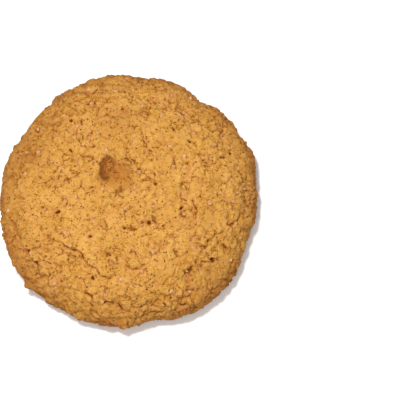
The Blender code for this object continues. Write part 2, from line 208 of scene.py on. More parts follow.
# Large cracks, seen from above, in millimetres: the crust on a crack's left stands up by its lift
CRACKS = [
    # depth, half width, lift, points
    (1.0, 0.30, 0.55, [(-22.4, -11.1), (-20.8, -13.1), (-17.4, -14.4), (-15.1, -15.8), (-12.4, -17.4),
                       (-11.4, -18.9), (-10.6, -20.3), (-8.6, -20.9), (-7.7, -22.3), (-6.2, -23.4),
                       (-4.0, -23.9), (-2.0, -21.8)]),
    (0.9, 0.32, -0.35, [(-11.6, -26.8), (-9.5, -28.2), (-9.3, -29.6)]),
    (0.9, 0.30, 0.30, [(-6.3, -30.0), (-4.5, -29.8), (-3.4, -29.1)]),
    (0.7, 0.26, 0.35, [(-3.2, -29.4), (-2.0, -30.9), (-1.1, -31.8), (0.6, -32.3)]),
    (0.7, 0.26, 0.30, [(-22.4, -18.7), (-21.0, -19.6), (-19.2, -19.3)]),
    (0.7, 0.26, 0.30, [(-7.2, -15.2), (-6.8, -16.6), (-4.6, -18.0), (-3.6, -18.2)]),
    (0.9, 0.30, 0.45, [(-0.4, -20.3), (0.4, -21.3), (1.8, -21.8), (3.4, -21.2), (4.4, -20.5),
                       (5.8, -20.8)]),
    (0.9, 0.32, 0.50, [(15.4, -19.3), (17.2, -19.9), (17.4, -21.2), (16.0, -22.6), (14.9, -23.8)]),
    (0.8, 0.26, 0.35, [(24.4, -12.4), (25.0, -13.6), (25.9, -14.0), (27.0, -15.0), (26.6, -16.4)]),
    (0.8, 0.28, 0.30, [(26.8, -8.0), (28.0, -8.3), (29.1, -7.4)]),
    (0.8, 0.26, 0.30, [(16.5, -2.2), (18.0, -2.9), (18.6, -5.4), (18.3, -7.7), (17.1, -9.1)]),
    (0.7, 0.28, 0.30, [(13.6, -5.6), (15.4, -4.5)]),
    (0.9, 0.32, -0.30, [(3.1, -9.9), (4.4, -9.3), (5.8, -9.1)]),
    (0.7, 0.26, 0.30, [(7.4, -29.0), (8.8, -29.3), (10.1, -30.0), (11.3, -30.7)]),
    (0.8, 0.34, 0.30, [(13.2, -29.5), (15.0, -30.0), (16.4, -29.6)]),
    (0.7, 0.26, 0.30, [(3.1, 1.4), (3.8, 0.0), (4.2, -2.2)]),
    (0.7, 0.30, 0.30, [(7.0, 5.6), (7.4, 3.9), (7.9, 1.6)]),
    (0.7, 0.26, 0.30, [(0.2, 9.8), (0.6, 8.6), (1.8, 7.6), (3.2, 5.5)]),
    (0.7, 0.26, -0.30, [(3.9, 14.8), (4.5, 13.4), (5.4, 11.9), (6.6, 10.6), (7.0, 9.2)]),
    (0.8, 0.26, 0.35, [(13.2, 10.2), (12.7, 8.6), (12.8, 7.2), (13.4, 5.2)]),
    (0.7, 0.26, 0.30, [(11.0, 18.5), (12.4, 17.6), (12.4, 16.2)]),
    (0.8, 0.26, 0.30, [(24.6, 9.8), (26.8, 10.3)]),
    (0.8, 0.28, -0.35, [(21.6, 18.7), (22.8, 17.6), (24.4, 18.3), (26.0, 18.1)]),
    (0.8, 0.26, 0.30, [(6.0, 26.2), (5.9, 23.6), (4.0, 23.3)]),
    (0.7, 0.26, 0.30, [(-2.6, 22.8), (-1.0, 23.3), (0.4, 22.7)]),
    (0.8, 0.28, 0.40, [(-16.6, 25.2), (-15.4, 26.2), (-14.0, 27.0), (-12.0, 27.3)]),
    (0.8, 0.28, 0.40, [(-11.3, 28.7), (-9.7, 29.3), (-7.9, 30.3), (-4.5, 30.8)]),
    (0.7, 0.26, 0.35, [(-11.6, 24.9), (-10.8, 25.4), (-9.5, 26.0), (-8.2, 26.5)]),
    (0.8, 0.26, 0.30, [(-18.3, 28.2), (-18.0, 26.6), (-18.6, 25.2)]),
    (0.7, 0.26, 0.30, [(-24.8, 17.4), (-24.6, 18.8), (-23.4, 20.0)]),
    (0.7, 0.26, 0.30, [(-30.2, 9.8), (-29.4, 11.0), (-27.6, 12.2)]),
    (1.0, 0.34, 0.55, [(-31.6, -6.5), (-30.5, -10.5), (-28.9, -14.0), (-26.4, -16.9), (-24.9, -18.5),
                       (-23.7, -21.5), (-21.4, -23.2)]),
    (0.8, 0.36, -0.45, [(11.0, 31.4), (16.0, 29.2), (20.5, 26.2), (24.5, 23.5), (27.5, 21.2)]),
]

# Deep pits that show, seen from above: x, y and radius in millimetres, and how deep they all are
DEEP_PITS = [
    (-19.0, -5.9, 0.62), (-9.8, -12.6, 0.42), (-1.1, -10.9, 0.50), (-9.2, -23.6, 0.55),
    (-26.9, -15.7, 0.50), (-4.5, -18.0, 0.42), (5.9, -9.1, 0.62), (1.9, -11.0, 0.42),
    (9.8, -10.0, 0.45), (23.0, -18.3, 0.60), (21.9, -13.4, 0.40), (14.6, -5.0, 0.40),
    (7.8, 1.4, 0.50), (3.1, 5.4, 0.38), (-9.5, 11.9, 0.40), (-15.5, 11.3, 0.45),
    (-12.5, 19.9, 0.42), (-15.4, 20.0, 0.36), (-1.8, 29.0, 0.42), (16.9, 13.6, 0.45),
    (23.0, 17.3, 0.42), (28.2, 11.8, 0.40), (26.2, 10.2, 0.42), (-6.2, -30.0, 0.45),
    (12.0, -28.4, 0.45),
]
DEEP_PIT_DEPTH = 0.8 * MM

# Broad patches painted browner, or paler below 0 as painted light: x, y and radius in millimetres, and
# share
BROWNER_AND_PAINTED_LIGHT_PATCHES = [
    (-2.4, 20.6, 6.0, 0.45), (-26.5, 11.0, 4.5, 0.55), (-20.6, 19.6, 4.0, 0.20),
    (10.5, -26.0, 4.5, -0.60), (-12.5, -28.5, 3.5, -0.40), (28.5, -11.5, 4.0, -0.45),
    (0.5, 27.0, 3.5, -0.30), (26.0, 10.5, 4.0, -0.35),
]

# Where the rim begins to brown, as shares of the radius, and the heights between which the foot does
RIM_FROM = 0.72
RIM_EDGE_FROM = 0.94
LOW_BROWNED = (8.0 * MM, 1.0 * MM)

# Sugar grains, and the splits beside them: the share of grains that have one, its width and depth
GRAIN_COUNT = 96
GRAIN_REACH = 0.94
GRAIN_SIZES = (1.3 * MM, 0.7 * MM)
GRAIN_RAISED = -0.1
GRAIN_SIDES = 6
GOLDEN_TURN = 2.39996
SPLIT_SHARE = 0.6
SPLIT_WIDTH = 0.18 * MM
SPLIT_DEPTH = 0.40 * MM

# How finely the crust and the base are divided: rings from the middle out, how many crust edges
# meet one of the base's, the share of the rings that is spent on the top's share of the way down
# the crust, and how far in from the crust's edge the base's lies
CRUST_RINGS = 150
EDGES_PER_BASE_EDGE = 5
TOP_RINGS = 0.74
TOP_REACH = 0.66
BASE_INSET = 0.99

# Paints, as they are seen on a screen, from 0 to 255
PAINTS = {
    "darker gold": (200, 148, 70),
    "lighter gold": (209, 157, 81),
    "ochre": (190, 130, 44),
    "tan": (206, 152, 98),
    "freckle": (176, 118, 38),
    "fine freckle": (158, 101, 24),
    "browned": (158, 100, 44),
    # Bare crumb, also used as the painted shadow at the foot of large cracks
    "bare crumb": (194, 132, 78),
    # Painted shade for the crust's hollows and the base's pores
    "hollow_shade": (160, 96, 26),
    "tail": (168, 104, 42),
    "dark speckle": (134, 72, 22),
    "pale speckle": (186, 122, 60),
    # Painted shade down cracks, pits, folds and splits; the deep one is the darkest, at their bottoms
    "groove_shade": (112, 50, 0),
    "deep groove": (96, 32, 0),
    # Painted shade for the thin cracks along open borders
    "crack line shade": (112, 58, 4),
    # Dark brown for the left edge of the tail's head
    "dark_left_edge": (100, 50, 20),
    # Painted shade for the tiny pinholes and splits drawn by the shader
    "pinhole": (124, 68, 12),
    "crusted sugar": (198, 146, 96),
    "clear sugar": (220, 180, 136),
    "stained sugar": (196, 136, 66),
}

# Blotches and freckles of the crust: size, detail and roughness of the noise, the levels between
# which each comes in, how strong it is, and its paint
BLOTCHES = [
    (2.2 * MM, 4, 0.65, 0.50, 0.72, 0.40, "ochre"),
    (1.6 * MM, 3, 0.50, 0.50, 0.68, 0.35, "tan"),
]
FRECKLES = [
    (0.75 * MM, 3, 0.55, 0.50, 0.68, 0.60, "freckle"),
    (0.32 * MM, 1, 0.55, 0.52, 0.67, 1.00, "fine freckle"),
]

# How strongly each layer that the crust carries is painted
CRUMB_AND_SHADOW_PAINT = 0.46
HOLLOW_SHADE_PAINT = 0.36
LINE_SHADE_PAINT = 0.72
DARK_EDGE_PAINT = 0.75
OPENED_SHADE_PAINT = 0.85
LOW_PAINT = 0.85
BUMP_HEIGHT = 0.22 * MM

# Lights: name, place, width and power; they face the origin
LIGHTS = [
    ("key_light", (-0.16, 0.10, 1.0), 0.13, 9.4),
    ("front_light", (0.0, -0.45, 0.95), 0.7, 4.0),
]
STUDIO_LIGHT = 0.32

# Camera: the picture's width in pixels, how many of them one millimetre takes, lens and sensor in
# millimetres, elevation, and the point looked at
PICTURE_WIDTH = 400
PIXELS_PER_MM = 3.67
LENS = 250.0
SENSOR = 36.0
ELEVATION = math.radians(75)
LOOKED_AT = (19.5, 0.3, 6.0)


def ease(low, high, value):
    """An S-shaped rise from 0 at low to 1 at high."""
    share = np.clip((value - low) / (high - low), 0, 1)
    return share * share * (3 - 2 * share)


def cell_random(cells, seed):
    """A random number from 0 to 1 for each whole-number cell: its numbers, mixed by large factors."""
    mixed = (cells[..., 0] * 73856093) ^ (cells[..., 1] * 19349663) ^ (cells[..., 2] * 83492791)
    mixed = (mixed + seed * 40503) & 0xFFFFFFFF
    for _ in range(2):
        mixed = ((mixed ^ (mixed >> 16)) * 0x45D9F3B) & 0xFFFFFFFF
    return ((mixed ^ (mixed >> 16)) & 0xFFFFFF) / 0x1000000


def hills(points, size, seed):
    """Smooth noise, about -1 to 1: a random slope at each lattice corner, blended by an S-curve."""
    scaled = points / size
    low = np.floor(scaled).astype(np.int64)
    part = scaled - low
    blend = part * part * part * (part * (part * 6 - 15) + 10)
    total = np.zeros(len(points))
    for corner in np.ndindex(2, 2, 2):
        corner = np.array(corner)
        weight = np.where(corner == 1, blend, 1 - blend).prod(axis=1)
        slope = np.stack([cell_random(low + corner, seed + k) for k in range(3)], axis=1) - 0.5
        total += weight * ((part - corner) * slope).sum(axis=1)
    return 2.6 * total


def patches(points, size, low, high, seed):
    """Patches of about the size: 0 where the noise is under low, 1 where it is over high."""
    return ease(low, high, hills(points, size, seed))


def warped(points, reach, size, seed):
    """The points pushed about by noise, so that straight borders drawn through them turn crooked."""
    push = np.stack([hills(points, size, seed + 10 * k) for k in range(3)], axis=1)
    return points + reach * push


def plates(points, size, blend, seed):
    """Crooked cells: how far off the nearest border is, and the cell's height, blended at borders."""
    scaled = points / size
    low = np.floor(scaled).astype(np.int64)
    nearest = np.full(len(points), np.inf)
    second = np.full(len(points), np.inf)
    gaps, values = [], []
    for step in np.ndindex(3, 3, 3):
        cell = low + np.array(step) - 1
        middle = cell + np.stack([cell_random(cell, seed + k) for k in range(3)], axis=1)
        gap = np.linalg.norm(scaled - middle, axis=1)
        second = np.minimum(second, np.maximum(nearest, gap))
        nearest = np.minimum(nearest, gap)
        gaps.append(gap)
        values.append(2 * cell_random(cell, seed + 7) - 1)
    weights = np.exp(-(np.array(gaps) - nearest) * size / blend)
    height = (weights * np.array(values)).sum(axis=0) / weights.sum(axis=0)
    return 0.5 * size * (second - nearest), height


def pits(points, spacing, radius, share, seed):
    """Round pits, one in some of the lattice's cells, each of its own width: 0 outside, up to 1 in it."""
    scaled = points / spacing
    low = np.floor(scaled).astype(np.int64)
    deepest = np.zeros(len(points))
    for step in np.ndindex(3, 3, 3):
        cell = low + np.array(step) - 1
        middle = cell + np.stack([cell_random(cell, seed + k) for k in range(3)], axis=1)
        gap = np.linalg.norm(scaled - middle, axis=1) * spacing
        own = radius * (0.55 + 0.45 * cell_random(cell, seed + 5))
        here = np.where(cell_random(cell, seed + 6) < share, 1 - (gap / own) ** 2, 0)
        deepest = np.maximum(deepest, here)
    return deepest


def along_line(places, line):
    """Each place's distance to a bent line, which side it is on, and how far along the line it lies."""
    nearest = np.full(len(places), np.inf)
    side = np.zeros(len(places))
    along = np.zeros(len(places))
    lengths = np.linalg.norm(np.diff(line, axis=0), axis=1)
    starts = np.concatenate([[0], np.cumsum(lengths)])
    for i, length in enumerate(lengths):
        run = (line[i + 1] - line[i]) / length
        offset = places - line[i]
        travelled = np.clip(offset @ run, 0, length)
        gap = np.linalg.norm(offset - travelled[:, None] * run, axis=1)
        closer = gap < nearest
        nearest = np.where(closer, gap, nearest)
        side = np.where(closer, run[0] * offset[:, 1] - run[1] * offset[:, 0], side)
        along = np.where(closer, (starts[i] + travelled) / starts[-1], along)
    return nearest, side, along


def side_profile(share):
    """Radius and height along the crust, share 0 at the top and 1 at the base's edge: a flattened
    arch over the widest place, and a quarter of an ellipse that tucks in under it."""
    turn = np.linspace(0, np.pi / 2, PROFILE_STEPS)
    over_radius = np.sin(turn) ** (2 / DOME_CURVE)
    over_height = WIDEST_HEIGHT + (DOME_HEIGHT - WIDEST_HEIGHT) * np.cos(turn) ** (2 / SHOULDER_CURVE)
    under_radius = BASE_SHARE + (1 - BASE_SHARE) * np.cos(turn[1:])
    under_height = WIDEST_HEIGHT * (1 - np.sin(turn[1:]))
    radius = PLAN_RADIUS * np.concatenate([over_radius, under_radius])
    height = np.concatenate([over_height, under_height])
    travelled = np.concatenate([[0], np.cumsum(np.hypot(np.diff(radius), np.diff(height)))])
    travelled /= travelled[-1]
    return np.interp(share, travelled, radius), np.interp(share, travelled, height)


def outline(azimuth):
    """The plan's radius as a share of the mean one: slightly oval, with its bulges and dents."""
    total = np.hypot(np.cos(azimuth), DEPTH_STRETCH * np.sin(azimuth))
    for degrees, height, half_width in OUTLINE_BULGES:
        away = np.angle(np.exp(1j * (azimuth - np.radians(degrees))))
        total = total + height / PLAN_RADIUS * np.exp(-((away / np.radians(half_width)) ** 2))
    return total


def smooth_dome(azimuth, share):
    """Points of the smooth cookie, and the directions that face out of it."""
    radius, height = side_profile(share)
    near_radius, near_height = side_profile(np.clip(share - SLOPE_STEP, 0, 1))
    far_radius, far_height = side_profile(np.clip(share + SLOPE_STEP, 0, 1))
    slope = np.stack([near_height - far_height, far_radius - near_radius])
    slope /= np.linalg.norm(slope, axis=0)
    round_plan = np.stack([np.cos(azimuth), np.sin(azimuth)], axis=1)
    plan = (radius * (1 + (outline(azimuth) - 1) * ease(0, PLAN_RADIUS, radius)))[:, None] * round_plan
    points = np.column_stack([plan, height])
    outward = np.column_stack([slope[0][:, None] * round_plan, slope[1]])
    return points, outward


def large_cracks(points):
    """Each large crack is a groove with thin ends, and the crust beside it is lifted and sinks
    away; each deep pit is a round hole. Gives how lifted and how deeply cut the crust is, how much
    shade is painted down each crack and pit, and how much shadow is painted along the low side of a
    crack, as bare crumb."""
    places = warped(warped(points, *CRACK_PUSHES[0], SEED + 300), *CRACK_PUSHES[1], SEED + 330)[:, :2]
    unbroken = 0.45 + 0.55 * patches(points, *LARGE_UNBROKEN_PATCHES, SEED + 350)
    lifted = np.zeros(len(points))
    cut = np.zeros(len(points))
    groove_shade = np.zeros(len(points))
    foot_shadow = np.zeros(len(points))
    for depth, half_width, lift, line in CRACKS:
        gap, side, along = along_line(places, np.array(line) * MM)
        strength = (4 * along * (1 - along)).clip(0, 1) ** 0.5
        down = strength * unbroken * np.exp(-((gap / (half_width * MM)) ** 2))
        sinking = LIFT_SHARE * strength * lift * MM * np.exp(-gap / LIFT_REACH)
        lifted += sinking * np.tanh(side / LIFT_SPREAD)
        cut += depth * MM * down
        # How much shade is painted down the crack
        groove_shade = np.maximum(groove_shade, 1.1 * down)
        # Painted shadow, as bare crumb, on the crack's low side below the lifted crust
        low_side = side * np.sign(lift) < 0
        foot_shadow = np.maximum(foot_shadow, strength * low_side * ease(*FOOT_SHADOW, gap))
    for x, y, radius in DEEP_PITS:
        gap = np.hypot(places[:, 0] - x * MM, places[:, 1] - y * MM) / (radius * MM)
        down = np.exp(-(gap**3))
        cut += DEEP_PIT_DEPTH * down
        groove_shade = np.maximum(groove_shade, 1.2 * down)
    return lifted, cut, groove_shade, foot_shadow


def rim_crumbs(points):
    """Lumps on the rim: each stands out most at its place and falls away round it as a bell curve."""
    total = np.zeros(len(points))
    for degrees, height, half_width, standing in RIM_CRUMBS:
        azimuth = np.radians(degrees)
        radius = PLAN_RADIUS * outline(azimuth)
        place = np.array([radius * np.cos(azimuth), radius * np.sin(azimuth), height])
        total += standing * np.exp(-((np.linalg.norm(points - place, axis=1) / half_width) ** 2))
    return total


def tail_of_dough(points):
    """A thumb of dough pressed on the dome: a steep leaf of a head that leans, and a low mound
    beside it. It is browned over the head, over the mound and in a trail that runs downhill from
    the head, and fades that way. Gives its relief, how browned it is, and how much darker the
    left edge of its head is at each place."""
    places = warped(warped(points, *TAIL_PUSHES[0], SEED + 400), *TAIL_PUSHES[1], SEED + 430)[:, :2]
    offset = places - TAIL_HEAD
    narrowed = 1 + 0.35 * np.clip(offset[:, 1] / TAIL_HEAD_HALVES[1], -1, 1)
    head_reach = np.hypot(
        offset[:, 0] * narrowed / TAIL_HEAD_HALVES[0], offset[:, 1] / TAIL_HEAD_HALVES[1]
    )
    head = np.exp(-(head_reach**4))
    leaning = 1 - 0.35 * ease(*HEAD_LEANS, offset[:, 0])
    # A darker ring painted round the head's slope, on its left side
    dark_left_edge = 4 * head * (1 - head) * ease(*DARK_EDGE_FADES, offset[:, 0])
    downhill = offset @ [np.cos(TAIL_SLOPE), np.sin(TAIL_SLOPE)]
    sideways = offset @ [-np.sin(TAIL_SLOPE), np.cos(TAIL_SLOPE)]

    offset = places - TAIL_BODY
    across = offset @ [np.cos(TAIL_BODY_TURN), np.sin(TAIL_BODY_TURN)]
    lengthways = offset @ [-np.sin(TAIL_BODY_TURN), np.cos(TAIL_BODY_TURN)]
    body = np.exp(-(np.hypot(across / TAIL_BODY_HALVES[0], lengthways / TAIL_BODY_HALVES[1]) ** 3))
    trail = ease(TRAIL_BEGINS, 0, downhill) * ease(*TRAIL_FADES, downhill)
    trail *= np.exp(-((sideways / TRAIL_HALF_WIDTH) ** 2))
    baked = np.maximum((0.32 + 0.4 * ease(*BODY_FADES, downhill)) * body, 0.75 * trail)
    baked *= 1 + 0.5 * hills(points, TAIL_MOTTLE, SEED + 460)
    browned = np.maximum(head * (1 - 0.35 * ease(*HEAD_FADES, downhill)), baked)
    return np.maximum(TAIL_HEAD_HEIGHT * leaning * head, TAIL_BODY_HEIGHT * body), browned, dark_left_edge


def rim_folds(points, size, seed):
    """Creases along the rim: noise drawn out round the cookie, with a groove where it passes
    through zero. Gives how far down a groove each place is, which side of it is lapped over the
    other, and how far off it is."""
    radius = np.hypot(points[:, 0], points[:, 1])
    around = FOLD_STRETCH * points[:, :2] / np.maximum(radius, MM)[:, None]
    drawn_out = np.column_stack([around, 0.7 * (radius - points[:, 2])])
    level = hills(drawn_out, size, seed)
    crease = np.exp(-((level / FOLD_WIDTH) ** 2))
    lapped = np.tanh(level / (0.6 * FOLD_WIDTH)) * np.exp(-np.abs(level) / (3 * FOLD_WIDTH))
    shown = patches(points, *FOLD_PATCHES, seed + 10) * ease(FOLD_FROM, FOLD_FULL, radius)
    return crease * shown, lapped * shown, 1.3 * size * np.abs(level) + SHUT_BORDER * (1 - 0.85 * shown)


def crust_relief(points, grains):
    """How far the crust stands out from the smooth dome: its swells, the steps of its plates and
    folds, and its lifts, lumps and tail, less its cracks, pits and splits. Gives also what its
    finish follows: how much shade is painted down a crack, pit, fold or split at each place, how
    many millimetres from an open border, how much shade is painted in its hollows, how bare its
    crumb is together with the shadow painted at the foot of large cracks, how browned the tail is,
    and how much darker its head's left edge is."""
    calmed = SIDE_SWELL + (1 - SIDE_SWELL) * ease(WIDEST_HEIGHT, 0.7 * DOME_HEIGHT, points[:, 2])
    swell = calmed * sum(
        height * hills(points, size, SEED + i) for i, (size, height) in enumerate(SWELLS)
    )
    crooked = warped(warped(points, *PLATE_PUSHES[0], SEED + 20), *PLATE_PUSHES[1], SEED + 60)
    crooked = warped(crooked, *PLATE_PUSHES[2], SEED + 90)
    outer = ease(0.45 * PLAN_RADIUS, 0.95 * PLAN_RADIUS, np.hypot(points[:, 0], points[:, 1]))

    border, step = plates(crooked, PLATE_SIZE, PLATE_BLEND, SEED + 100)
    opened = patches(points, *OPENED_PATCHES, SEED + 120)
    unbroken = 0.2 + 0.8 * patches(points, *UNBROKEN_PATCHES, SEED + 130)
    crack = opened * unbroken * np.exp(-((border / PLATE_CRACK_WIDTH) ** 2))
    relief = -PLATE_CRACK_DEPTH * crack
    crumb_and_shadow = opened * ease(*PLATE_BARE, border) * ease(*PLATE_LOW, step)

    flake_border, flake_step = plates(crooked, FLAKE_SIZE, FLAKE_BLEND, SEED + 150)
    gathered = 0.6 * hills(points, FLAKED_SIZES[0], SEED + 170)
    gathered += 0.5 * hills(points, FLAKED_SIZES[1], SEED + 172)
    flaked = ease(*FLAKED_LEVELS, gathered) * (1 - 0.1 * outer)
    lumpy = (0.55 + 0.45 * outer) * patches(points, *LUMPY_PATCHES, SEED + 175)
    flake_crack = flaked * np.exp(-((flake_border / FLAKE_CRACK_WIDTH) ** 2))
    relief += FLAKE_STEP * flake_step - FLAKE_CRACK_DEPTH * flake_crack
    relief += FLAKE_SWELL * lumpy * (SWELL_EVEN - np.exp(-flake_border / FLAKE_ROUNDING))
    flake_bare = 0.8 * flaked * ease(*FLAKE_BARE, flake_border) * ease(*FLAKE_LOW, flake_step)
    crumb_and_shadow = np.maximum(crumb_and_shadow, flake_bare)

    crumb_border, crumb_step = plates(crooked, CRUMB_SIZE, CRUMB_BLEND, SEED + 180)
    tail, browned, dark_left_edge = tail_of_dough(points)
    crumbly = (0.4 + 0.6 * outer) * patches(points, *CRUMBLY_PATCHES, SEED + 185)
    crumbly = np.maximum(crumbly, 1.2 * browned)
    crumb_swell = CRUMB_SWELL * (SWELL_EVEN - np.exp(-crumb_border / CRUMB_ROUNDING))
    relief += crumbly * (CRUMB_STEP * crumb_step + crumb_swell)

    ragged = warped(points, *PIT_PUSH, SEED + 250)
    pit = pits(ragged, PIT_SPACING, PIT_RADIUS, PIT_SHARE, SEED + 140)
    pinhole = pits(ragged, PINHOLE_SPACING, PINHOLE_RADIUS, PINHOLE_SHARE, SEED + 190)
    relief -= PIT_DEPTH * pit + PINHOLE_DEPTH * pinhole
    fold, fold_step, fold_border = rim_folds(points, FOLD_SIZE, SEED + 200)
    fine_fold, _, fine_fold_border = rim_folds(ragged, CREASE_SIZE, SEED + 220)
    relief -= FOLD_DEPTH * fold + CREASE_DEPTH * fine_fold
    large_lift, large_cut, large_groove_shade, large_foot_shadow = large_cracks(points)
    relief -= large_cut
    # The bare crumb also carries the painted shadow at the foot of large cracks
    crumb_and_shadow = np.maximum(crumb_and_shadow, large_foot_shadow)

    beside = np.zeros(len(points))
    for seat, size, aside in grains:
        offset = ragged - seat
        gap = np.linalg.norm(offset, axis=1)
        crumb_and_shadow = np.maximum(crumb_and_shadow, 0.8 * ease(1.2, 0.5, gap / size))
        facing = ease(0.3, 0.9, offset @ aside / np.maximum(gap, 0.1 * size))
        beside = np.maximum(beside, facing * np.exp(-(((gap - 0.6 * size) / SPLIT_WIDTH) ** 2)))
    relief -= SPLIT_DEPTH * beside

    relief += sum(
        height * hills(points, size, SEED + 230 + i) for i, (size, height) in enumerate(GRIT)
    )
    relief += BARE_GRIT[1] * crumb_and_shadow * hills(points, BARE_GRIT[0], SEED + 260)
    # Painted shade in the crust's hollows, where it sinks below its surroundings
    hollow_shade = ease(HOLLOW_SHADE_FROM, HOLLOW_SHADE_FULL, relief - FLAKE_STEP * flake_step)
    # Painted shade down the pits, pinholes, rim folds, large cracks and the splits beside grains
    groove_shade = np.maximum.reduce([0.9 * pit, 0.7 * pinhole, 0.5 * fold, large_groove_shade, 0.8 * beside])
    edge = np.minimum.reduce([
        border + SHUT_BORDER * (1 - opened * unbroken),
        flake_border + SHUT_BORDER * (1 - 0.95 * flaked),
        crumb_border + SHUT_BORDER * (1 - 0.72 * crumbly),
        fold_border, fine_fold_border,
    ])
    lumps = swell + PLATE_STEP * calmed * step + FOLD_STEP * fold_step
    lumps = lumps + large_lift + rim_crumbs(points) + tail
    finish = {
        "groove_shade": groove_shade,
        "edge": edge / MM,
        "hollow_shade": hollow_shade,
        "crumb_and_shadow": crumb_and_shadow,
        "tail": browned,
        "dark_left_edge": dark_left_edge,
    }
    return lumps + relief, finish


def grain_seats():
    """Where the sugar grains sit: a sunflower's spiral over the dome, each a little off its place.
    Their sizes are dealt out at random, the grains are listed largest first, and none sits on the
    tail's head."""
    draw = np.random.default_rng(SEED)
    order = np.arange(GRAIN_COUNT)
    share = GRAIN_REACH * np.sqrt((order + 0.5) / GRAIN_COUNT) + draw.uniform(-0.02, 0.02, GRAIN_COUNT)
    azimuth = order * GOLDEN_TURN + draw.uniform(-0.25, 0.25, GRAIN_COUNT)
    radius = PLAN_RADIUS * share
    table_share = np.linspace(0, 1, PROFILE_STEPS)
    table_radius, _ = side_profile(table_share)
    over = np.argmax(table_radius)
    seat_share = np.interp(radius, table_radius[: over + 1], table_share[: over + 1])
    points, outward = smooth_dome(azimuth, seat_share)
    dealt = draw.permutation(GRAIN_COUNT)
    sizes = np.linspace(*GRAIN_SIZES, GRAIN_COUNT)
    turns = draw.uniform(0, 2 * np.pi, (GRAIN_COUNT, 3))
    shapes = draw.uniform(0.75, 1.15, (GRAIN_COUNT, 3))
    points, outward = points[dealt], outward[dealt]
    free = np.linalg.norm(points[:, :2] - TAIL_HEAD, axis=1) > TAIL_CLEAR
    return points[free], outward[free], sizes[free], turns[free], shapes[free]


def split_beside_grains():
    """Each grain's seat and size, and which way from it the crust has split beside it, if it has."""
    seats, outward, sizes, _, _ = grain_seats()
    draw = np.random.default_rng(SEED + 2)
    turn = draw.uniform(0, 2 * np.pi, (len(seats), 1))
    split = draw.uniform(0, 1, (len(seats), 1)) < SPLIT_SHARE
    across = np.cross(outward, [0, 1, 0])
    across /= np.linalg.norm(across, axis=1, keepdims=True)
    upward = np.cross(outward, across)
    aside = split * (np.cos(turn) * across + np.sin(turn) * upward)
    return list(zip(seats, sizes, aside))


def round_grid(rings):
    """A square grid bent into a disc: each vertex's ring, as a share of the way out, is the larger
    of its two distances from the middle, and it lies along that ring in proportion. Gives the
    azimuths, the shares, the quads, and the rim's vertices in order round the disc."""
    side = 2 * rings + 1
    across, up = np.meshgrid(np.arange(side) - rings, np.arange(side) - rings, indexing="ij")
    across, up = across.ravel(), up.ravel()
    ring = np.maximum(np.abs(across), np.abs(up))
    wide = np.abs(across) > np.abs(up)
    safe_across = np.where(wide, across, 1)
    safe_up = np.where(wide | (up == 0), 1, up)
    azimuth = np.where(wide, np.pi / 4 * up / safe_across, np.pi / 2 - np.pi / 4 * across / safe_up)
    azimuth += np.pi * np.where(wide, across < 0, up < 0)
    corner = (np.arange(side - 1)[:, None] * side + np.arange(side - 1)).ravel()
    quads = np.column_stack([corner, corner + side, corner + side + 1, corner + 1])
    rim = np.flatnonzero(ring == rings)
    rim = np.roll(rim[np.argsort(azimuth[rim])], 1)
    return azimuth, ring / rings, quads, rim


def new_object(name, mesh, material):
    """An object of the mesh, in the scene, with its finish."""
    piece = bpy.data.objects.new(name, mesh)
    bpy.context.scene.collection.objects.link(piece)
    mesh.materials.append(material)
    return piece


def cookie_mesh(grains):
    """The cookie as one closed surface: the crust's round grid on the dome with its relief, the
    base's coarser round grid turned over, with its pores, and fans of triangles that join their
    rims."""
    azimuth, ring, crust_quads, crust_rim = round_grid(CRUST_RINGS)
    share = np.interp(ring, [0, TOP_RINGS, 1], [0, TOP_REACH, 1])
    points, outward = smooth_dome(azimuth, share)
    relief, finish = crust_relief(points, grains)
    free = ease(0, FOOT_HEIGHT, points[:, 2])
    points += outward * (free * relief)[:, None]
    points[:, 2] = np.maximum(points[:, 2], 0)

    base_azimuth, base_ring, base_quads, base_rim = round_grid(CRUST_RINGS // EDGES_PER_BASE_EDGE)
    base, _ = smooth_dome(base_azimuth, np.ones(len(base_azimuth)))
    base[:, :2] *= BASE_INSET * base_ring[:, None]
    pore = pits(warped(base, *PORE_PUSH, SEED + 520), PORE_SPACING, PORE_RADIUS, PORE_SHARE, SEED + 500)
    base[:, 2] = PORE_DEPTH * pore * ease(1.0, 0.96, base_ring)

    near = base_rim + len(points)
    after = np.roll(near, -1)
    crust_steps = [np.roll(crust_rim, -k)[::EDGES_PER_BASE_EDGE] for k in range(EDGES_PER_BASE_EDGE + 1)]
    fans = [np.column_stack([near, after, crust_steps[-1]])]
    for this, following in zip(crust_steps, crust_steps[1:]):
        fans.append(np.column_stack([near, following, this]))
    under_quads = base_quads[:, ::-1] + len(points)
    faces = crust_quads.tolist() + under_quads.tolist() + np.concatenate(fans).tolist()
    mesh = bpy.data.meshes.new("crust")
    mesh.from_pydata(np.concatenate([points, base]).tolist(), [], faces)
    mesh.shade_smooth()

    radius = np.hypot(points[:, 0], points[:, 1])
    finish["rim"] = ease(RIM_FROM * PLAN_RADIUS, PLAN_RADIUS, radius)
    finish["rim"] += ease(RIM_EDGE_FROM * PLAN_RADIUS, PLAN_RADIUS, radius)
    finish["low"] = ease(*LOW_BROWNED, points[:, 2])
    finish["baked"] = np.zeros(len(points))
    # Broad patches painted browner, and paler ones painted light to even out the relief's shade
    spread = warped(points, *PATCH_PUSH, SEED + 600)
    for x, y, reach, strength in BROWNER_AND_PAINTED_LIGHT_PATCHES:
        gap = np.hypot(spread[:, 0] - x * MM, spread[:, 1] - y * MM) / (reach * MM)
        finish["baked"] += strength * np.exp(-(gap**2))
    full = np.ones(len(base))
    none = np.zeros(len(base))
    # The base's pores carry painted shade, as the crust's hollows and grooves do
    under = {
        "groove_shade": pore,
        "edge": full,
        "hollow_shade": pore,
        "crumb_and_shadow": 0.3 * full,
        "tail": none,
        "dark_left_edge": none,
        "rim": full,
        "low": full,
        "baked": none,
    }
    for name, values in finish.items():
        layer = mesh.attributes.new(name, "FLOAT", "POINT")
        layer.data.foreach_set("value", np.concatenate([values, under[name]]).astype(np.float32))
    return mesh


